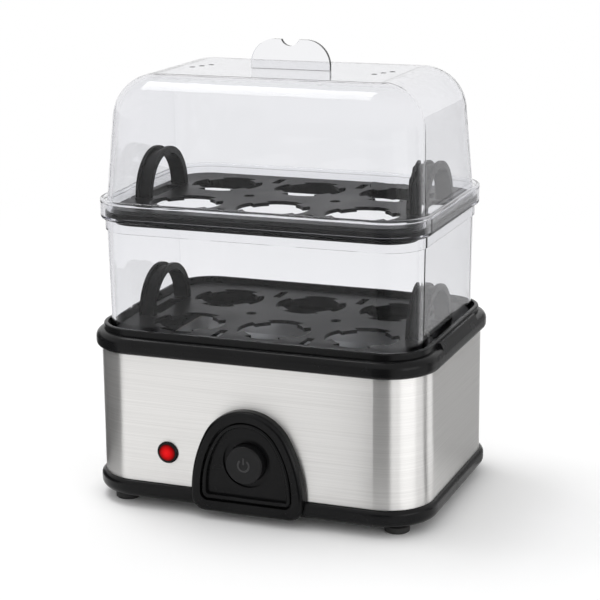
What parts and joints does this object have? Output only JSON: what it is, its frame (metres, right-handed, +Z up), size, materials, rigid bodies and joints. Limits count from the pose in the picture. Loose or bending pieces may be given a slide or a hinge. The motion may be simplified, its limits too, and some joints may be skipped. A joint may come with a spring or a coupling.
{
  "type": "egg cooker",
  "caption": "Stacking electric egg cooker: steel-banded heated base, egg trays with arch handles, a clear tier and a clear lid with a finger fin.",
  "frame": {"origin": "on the worktop under the middle of the cooker", "axes": "+Z up, +X to the user's right, control panel and button towards -Y"},
  "size_m": [0.194, 0.1492, 0.248],
  "materials": {
    "steel": "horizontally brushed stainless sheet",
    "black_plastic": "black moulded plastic, satin",
    "panel_black": "black moulded plastic, satin",
    "button_black": "black moulded plastic, fine matt grain",
    "tray_black": "black moulded plastic, semi-gloss",
    "clear_plastic": "clear polished plastic",
    "rubber_foot": "black moulded rubber",
    "zinc_screw": "zinc plated steel",
    "aluminium_plate": "pressed aluminium, satin",
    "silicone": "pale silicone rubber",
    "element_sheath": "drawn sheath, dull",
    "phenolic": "dark moulded phenolic",
    "spring_strap": "bare spring steel strip",
    "fuse_body": "plain metal can",
    "nylon_white": "natural nylon",
    "red_lens": "red translucent plastic",
    "lamp_glass": "clear glass lamp"
  },
  "bodies": {
    "base": {"feet": "rubber_foot", "base_screws": "zinc_screw", "bottom_shell": "black_plastic", "body_band": "steel", "top_rim": "black_plastic", "heating_plate": "aluminium_plate", "plate_seal": "silicone", "plate_screws": "zinc_screw", "heating_element": "element_sheath", "thermostat": "phenolic", "thermostat_bracket": "spring_strap", "thermal_fuse": "fuse_body", "fuse_clip": "spring_strap", "control_panel": "panel_black", "panel_screws": "zinc_screw", "switch_body": "phenolic", "indicator_bezel": "panel_black", "indicator_lens": "red_lens", "indicator_lamp": "lamp_glass", "terminal_block": "nylon_white", "cord_gland": "rubber_foot"},
    "button": {"power_button": "button_black", "switch_plunger": "nylon_white"},
    "lower_tray": {"lower_tray": "tray_black"},
    "middle_tier": {"middle_tier": "clear_plastic"},
    "upper_tray": {"upper_tray": "tray_black"},
    "lid": {"lid": "clear_plastic", "lid_handle": "clear_plastic"}
  },
  "joints": [
    {"name": "button_press", "type": "slide", "parent": "base", "child": "button", "axis": [0, 1, 0], "range_m": [0, 0.003], "stiffness_N_per_m": 600},
    {"name": "lower_tray_lift", "type": "slide", "parent": "base", "child": "lower_tray", "axis": [0, 0, 1], "range_m": [0, 0.06]},
    {"name": "middle_tier_lift", "type": "slide", "parent": "lower_tray", "child": "middle_tier", "axis": [0, 0, 1], "range_m": [0, 0.09]},
    {"name": "upper_tray_lift", "type": "slide", "parent": "middle_tier", "child": "upper_tray", "axis": [0, 0, 1], "range_m": [0, 0.06]},
    {"name": "lid_lift", "type": "slide", "parent": "upper_tray", "child": "lid", "axis": [0, 0, 1], "range_m": [0, 0.1]}
  ]
}
